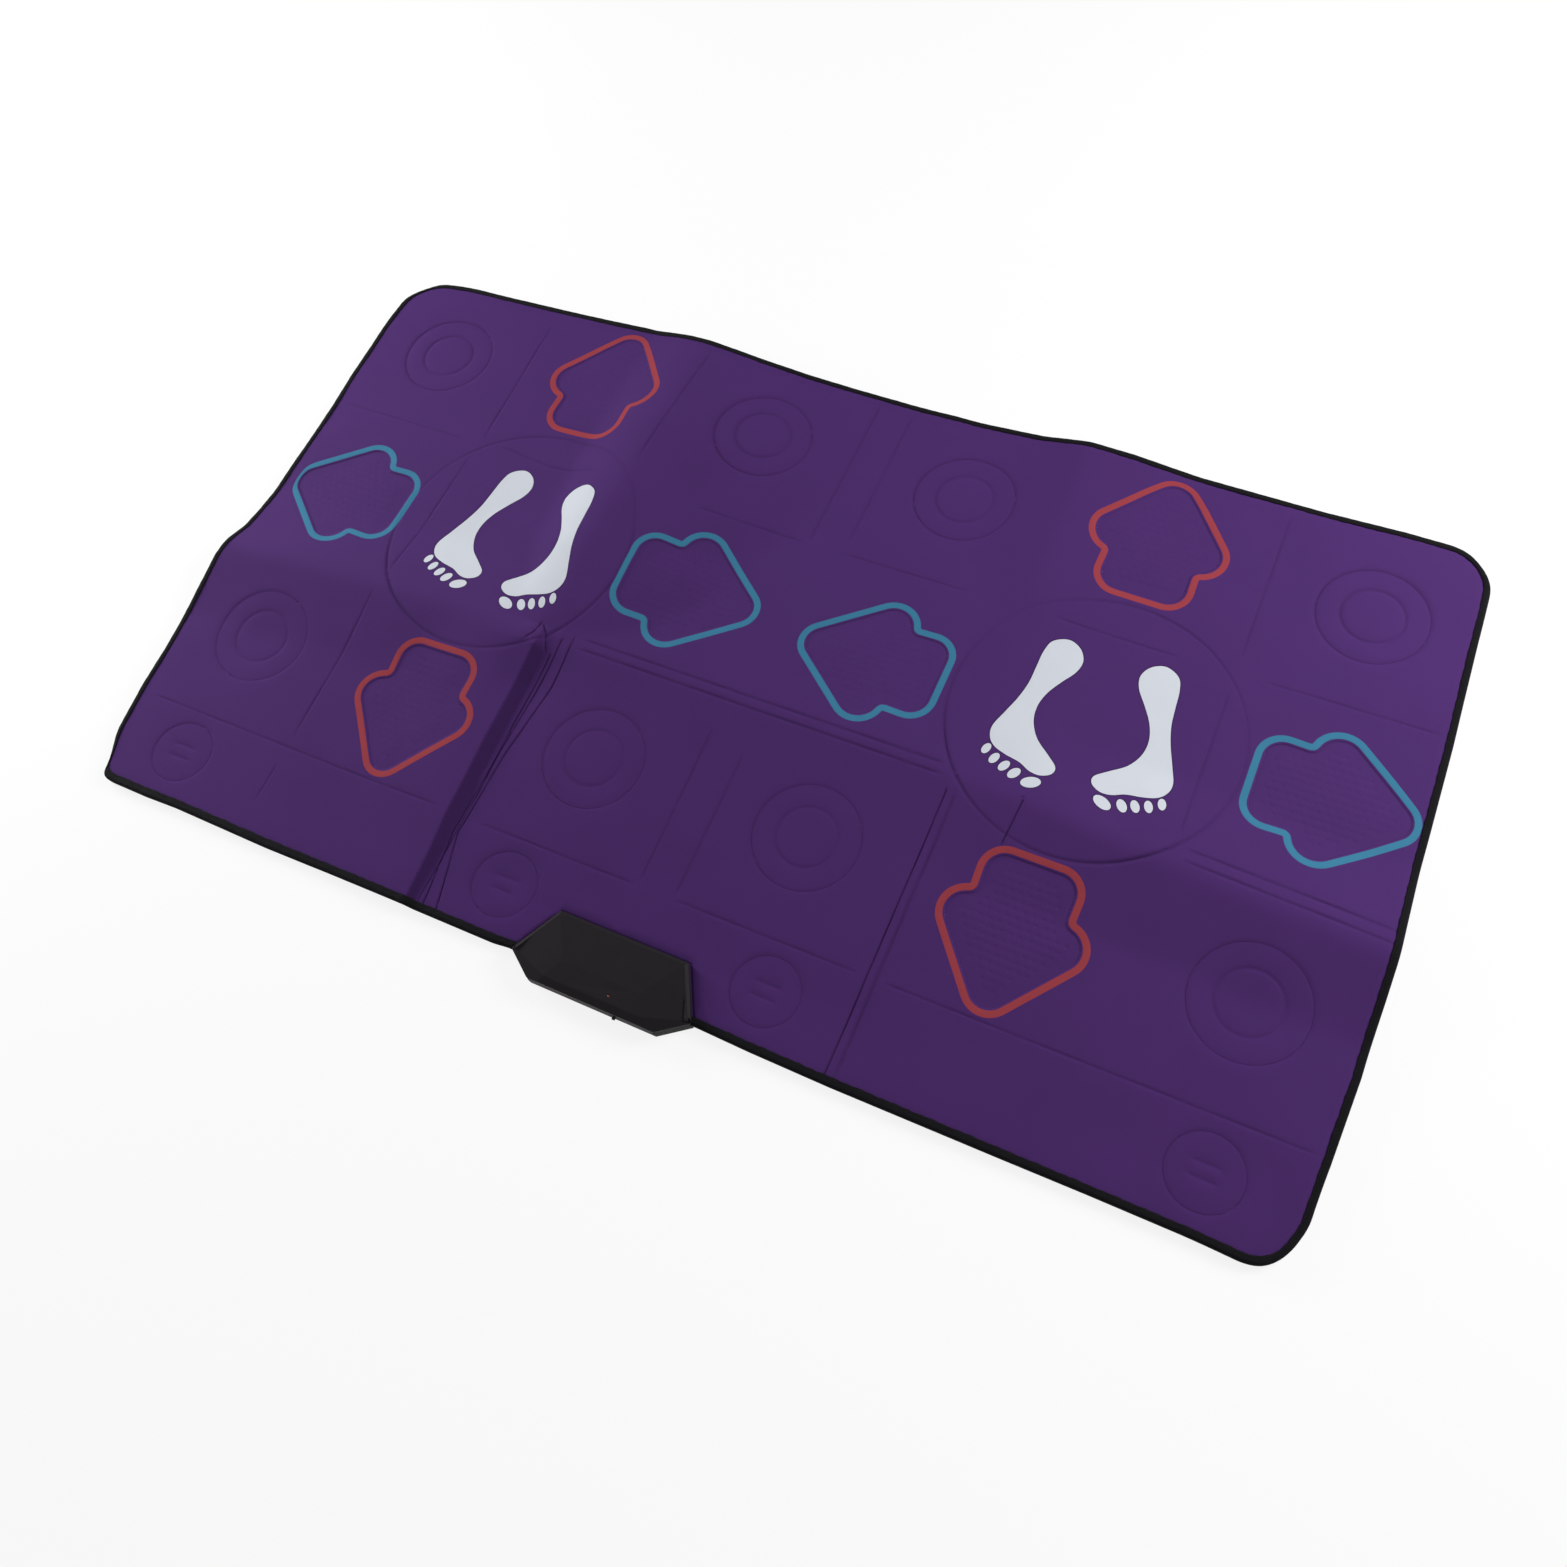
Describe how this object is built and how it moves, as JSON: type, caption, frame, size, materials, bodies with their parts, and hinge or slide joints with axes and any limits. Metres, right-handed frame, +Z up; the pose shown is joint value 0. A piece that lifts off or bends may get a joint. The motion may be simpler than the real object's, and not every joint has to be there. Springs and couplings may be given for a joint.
{
  "type": "dance mat controller",
  "caption": "Wide padded floor mat for two players side by side, with arrow and round step pads, crease folds, taped edge and a faceted control box clamped to its front edge.",
  "frame": {"origin": "middle of the footprint at floor level, on the underside plane", "axes": "+X along the mat's length to the players' right, +Y to the back edge away from the control box, +Z up"},
  "size_m": [1.6522, 0.9626, 0.054],
  "materials": {
    "cover_fabric": "soft matt stretch fabric over foam, printed",
    "step_pad": "soft matt stretch fabric over foam, printed",
    "sensor_film": "translucent film with carbon print",
    "base_sheet": "non-slip fabric with raised dots",
    "edge_tape": "woven tape",
    "case": "finely textured satin plastic",
    "lever": "satin plastic",
    "board": "green solder mask",
    "chip": "moulded package",
    "shield_can": "tinned steel",
    "lamp_lens": "clear red lens, unlit",
    "cell_wrap": "plain printed sleeve",
    "contact_spring": "nickel plated",
    "screw": "zinc plated"
  },
  "bodies": {
    "back_left_panel": {"base_back_left": "base_sheet", "sensor_back_left": "sensor_film", "cover_back_left": "cover_fabric", "binding_back_left": "edge_tape"},
    "back_centre_panel": {"base_back_centre": "base_sheet", "sensor_back_centre": "sensor_film", "cover_back_centre": "cover_fabric", "binding_back_centre": "edge_tape"},
    "back_right_panel": {"base_back_right": "base_sheet", "sensor_back_right": "sensor_film", "cover_back_right": "cover_fabric", "binding_back_right": "edge_tape"},
    "front_left_panel": {"base_front_left": "base_sheet", "sensor_front_left": "sensor_film", "cover_front_left": "cover_fabric", "binding_front_left": "edge_tape"},
    "front_centre_panel": {"base_front_centre": "base_sheet", "sensor_front_centre": "sensor_film", "cover_front_centre": "cover_fabric", "binding_front_centre": "edge_tape", "box_top_shell": "case", "box_bottom_shell": "case", "circuit_board": "board", "main_chip": "chip", "radio_module": "shield_can", "film_connector": "chip", "power_led": "lamp_lens", "switch_body": "shield_can", "battery_front": "cell_wrap", "battery_rear": "cell_wrap", "battery_door": "case", "battery_contact_left": "contact_spring", "battery_contact_right": "contact_spring", "clamp_screw_left": "screw", "clamp_screw_right": "screw"},
    "front_right_panel": {"base_front_right": "base_sheet", "sensor_front_right": "sensor_film", "cover_front_right": "cover_fabric", "binding_front_right": "edge_tape"},
    "pad_arrow_back_1_body": {"pad_arrow_back_1": "step_pad"},
    "pad_arrow_left_1_body": {"pad_arrow_left_1": "step_pad"},
    "pad_corner_back_left_1_body": {"pad_corner_back_left_1": "step_pad"},
    "pad_arrow_right_1_body": {"pad_arrow_right_1": "step_pad"},
    "pad_arrow_left_2_body": {"pad_arrow_left_2": "step_pad"},
    "pad_corner_back_right_1_body": {"pad_corner_back_right_1": "step_pad"},
    "pad_corner_back_left_2_body": {"pad_corner_back_left_2": "step_pad"},
    "pad_arrow_back_2_body": {"pad_arrow_back_2": "step_pad"},
    "pad_arrow_right_2_body": {"pad_arrow_right_2": "step_pad"},
    "pad_corner_back_right_2_body": {"pad_corner_back_right_2": "step_pad"},
    "pad_arrow_front_1_body": {"pad_arrow_front_1": "step_pad"},
    "pad_corner_front_left_1_body": {"pad_corner_front_left_1": "step_pad"},
    "pad_menu_outer_1_body": {"pad_menu_outer_1": "step_pad"},
    "pad_corner_front_right_1_body": {"pad_corner_front_right_1": "step_pad"},
    "pad_corner_front_left_2_body": {"pad_corner_front_left_2": "step_pad"},
    "pad_menu_inner_1_body": {"pad_menu_inner_1": "step_pad"},
    "pad_menu_inner_2_body": {"pad_menu_inner_2": "step_pad"},
    "pad_arrow_front_2_body": {"pad_arrow_front_2": "step_pad"},
    "pad_corner_front_right_2_body": {"pad_corner_front_right_2": "step_pad"},
    "pad_menu_outer_2_body": {"pad_menu_outer_2": "step_pad"},
    "power_switch_lever": {"switch_lever": "lever"}
  },
  "joints": [
    {"name": "long_fold", "type": "hinge", "parent": "front_centre_panel", "child": "back_centre_panel", "pos_m": [0, -0.0548, 0.0375], "axis": [-1, 0, 0], "range_deg": [-180, 0]},
    {"name": "left_fold", "type": "hinge", "parent": "front_centre_panel", "child": "front_left_panel", "pos_m": [-0.29, 0, 0.0585], "axis": [0, 1, 0], "range_deg": [0, 180]},
    {"name": "right_fold", "type": "hinge", "parent": "front_centre_panel", "child": "front_right_panel", "pos_m": [0.29, 0, 0.0375], "axis": [0, -1, 0], "range_deg": [0, 180]},
    {"name": "left_fold_back", "type": "hinge", "parent": "back_centre_panel", "child": "back_left_panel", "pos_m": [-0.29, 0, 0.0585], "axis": [0, 1, 0], "range_deg": [0, 180]},
    {"name": "right_fold_back", "type": "hinge", "parent": "back_centre_panel", "child": "back_right_panel", "pos_m": [0.29, 0, 0.0375], "axis": [0, -1, 0], "range_deg": [0, 180]},
    {"name": "press_arrow_back_1", "type": "slide", "parent": "back_left_panel", "child": "pad_arrow_back_1_body", "axis": [0, 0, 1], "range_m": [-0.0015, 0], "stiffness_N_per_m": 15000, "springref_m": 0.0005},
    {"name": "press_arrow_left_1", "type": "slide", "parent": "back_left_panel", "child": "pad_arrow_left_1_body", "axis": [0, 0, 1], "range_m": [-0.0015, 0], "stiffness_N_per_m": 15000, "springref_m": 0.0005},
    {"name": "press_corner_back_left_1", "type": "slide", "parent": "back_left_panel", "child": "pad_corner_back_left_1_body", "axis": [0, 0, 1], "range_m": [-0.0015, 0], "stiffness_N_per_m": 15000, "springref_m": 0.0005},
    {"name": "press_arrow_right_1", "type": "slide", "parent": "back_centre_panel", "child": "pad_arrow_right_1_body", "axis": [0, 0, 1], "range_m": [-0.0015, 0], "stiffness_N_per_m": 15000, "springref_m": 0.0005},
    {"name": "press_arrow_left_2", "type": "slide", "parent": "back_centre_panel", "child": "pad_arrow_left_2_body", "axis": [0, 0, 1], "range_m": [-0.0015, 0], "stiffness_N_per_m": 15000, "springref_m": 0.0005},
    {"name": "press_corner_back_right_1", "type": "slide", "parent": "back_centre_panel", "child": "pad_corner_back_right_1_body", "axis": [0, 0, 1], "range_m": [-0.0015, 0], "stiffness_N_per_m": 15000, "springref_m": 0.0005},
    {"name": "press_corner_back_left_2", "type": "slide", "parent": "back_centre_panel", "child": "pad_corner_back_left_2_body", "axis": [0, 0, 1], "range_m": [-0.0015, 0], "stiffness_N_per_m": 15000, "springref_m": 0.0005},
    {"name": "press_arrow_back_2", "type": "slide", "parent": "back_right_panel", "child": "pad_arrow_back_2_body", "axis": [0, 0, 1], "range_m": [-0.0015, 0], "stiffness_N_per_m": 15000, "springref_m": 0.0005},
    {"name": "press_arrow_right_2", "type": "slide", "parent": "back_right_panel", "child": "pad_arrow_right_2_body", "axis": [0, 0, 1], "range_m": [-0.0015, 0], "stiffness_N_per_m": 15000, "springref_m": 0.0005},
    {"name": "press_corner_back_right_2", "type": "slide", "parent": "back_right_panel", "child": "pad_corner_back_right_2_body", "axis": [0, 0, 1], "range_m": [-0.0015, 0], "stiffness_N_per_m": 15000, "springref_m": 0.0005},
    {"name": "press_arrow_front_1", "type": "slide", "parent": "front_left_panel", "child": "pad_arrow_front_1_body", "axis": [0, 0, 1], "range_m": [-0.0015, 0], "stiffness_N_per_m": 15000, "springref_m": 0.0005},
    {"name": "press_corner_front_left_1", "type": "slide", "parent": "front_left_panel", "child": "pad_corner_front_left_1_body", "axis": [0, 0, 1], "range_m": [-0.0015, 0], "stiffness_N_per_m": 15000, "springref_m": 0.0005},
    {"name": "press_menu_outer_1", "type": "slide", "parent": "front_left_panel", "child": "pad_menu_outer_1_body", "axis": [0, 0, 1], "range_m": [-0.0015, 0], "stiffness_N_per_m": 15000, "springref_m": 0.0005},
    {"name": "press_corner_front_right_1", "type": "slide", "parent": "front_centre_panel", "child": "pad_corner_front_right_1_body", "axis": [0, 0, 1], "range_m": [-0.0015, 0], "stiffness_N_per_m": 15000, "springref_m": 0.0005},
    {"name": "press_corner_front_left_2", "type": "slide", "parent": "front_centre_panel", "child": "pad_corner_front_left_2_body", "axis": [0, 0, 1], "range_m": [-0.0015, 0], "stiffness_N_per_m": 15000, "springref_m": 0.0005},
    {"name": "press_menu_inner_1", "type": "slide", "parent": "front_centre_panel", "child": "pad_menu_inner_1_body", "axis": [0, 0, 1], "range_m": [-0.0015, 0], "stiffness_N_per_m": 15000, "springref_m": 0.0005},
    {"name": "press_menu_inner_2", "type": "slide", "parent": "front_centre_panel", "child": "pad_menu_inner_2_body", "axis": [0, 0, 1], "range_m": [-0.0015, 0], "stiffness_N_per_m": 15000, "springref_m": 0.0005},
    {"name": "press_arrow_front_2", "type": "slide", "parent": "front_right_panel", "child": "pad_arrow_front_2_body", "axis": [0, 0, 1], "range_m": [-0.0015, 0], "stiffness_N_per_m": 15000, "springref_m": 0.0005},
    {"name": "press_corner_front_right_2", "type": "slide", "parent": "front_right_panel", "child": "pad_corner_front_right_2_body", "axis": [0, 0, 1], "range_m": [-0.0015, 0], "stiffness_N_per_m": 15000, "springref_m": 0.0005},
    {"name": "press_menu_outer_2", "type": "slide", "parent": "front_right_panel", "child": "pad_menu_outer_2_body", "axis": [0, 0, 1], "range_m": [-0.0015, 0], "stiffness_N_per_m": 15000, "springref_m": 0.0005},
    {"name": "power_switch", "type": "slide", "parent": "front_centre_panel", "child": "power_switch_lever", "axis": [1, 0, 0], "range_m": [-0.004, 0]}
  ],
  "couplings": [
    {"joint": "left_fold_back", "follows": "left_fold", "ratio": 1},
    {"joint": "right_fold_back", "follows": "right_fold", "ratio": 1}
  ]
}
